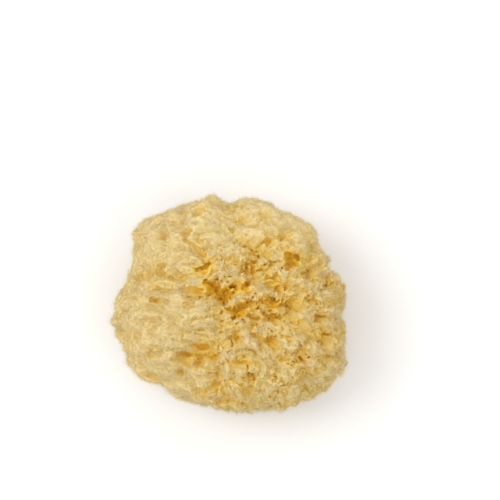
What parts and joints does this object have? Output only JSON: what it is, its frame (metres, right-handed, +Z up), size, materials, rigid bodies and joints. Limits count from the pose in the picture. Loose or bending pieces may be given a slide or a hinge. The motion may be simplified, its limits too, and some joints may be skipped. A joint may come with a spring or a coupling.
{
  "type": "natural bath sponge",
  "caption": "Natural sea sponge: a rounded golden loaf of soft porous skeleton with lobes, folds and canal mouths, cut flat underneath where it grew on rock.",
  "frame": {"origin": "middle of the bounding box at the flat cut that the sponge rests on", "axes": "+X across the crown along the longer width, +Y along the shorter width, +Z up from the cut to the crown"},
  "size_m": [0.128, 0.119, 0.078],
  "materials": {
    "sponge_skeleton": "matte, soft and fibrous, pale cream at the tips and golden in the pores"
  },
  "bodies": {
    "root": {"sponge": "sponge_skeleton"}
  },
  "joints": []
}
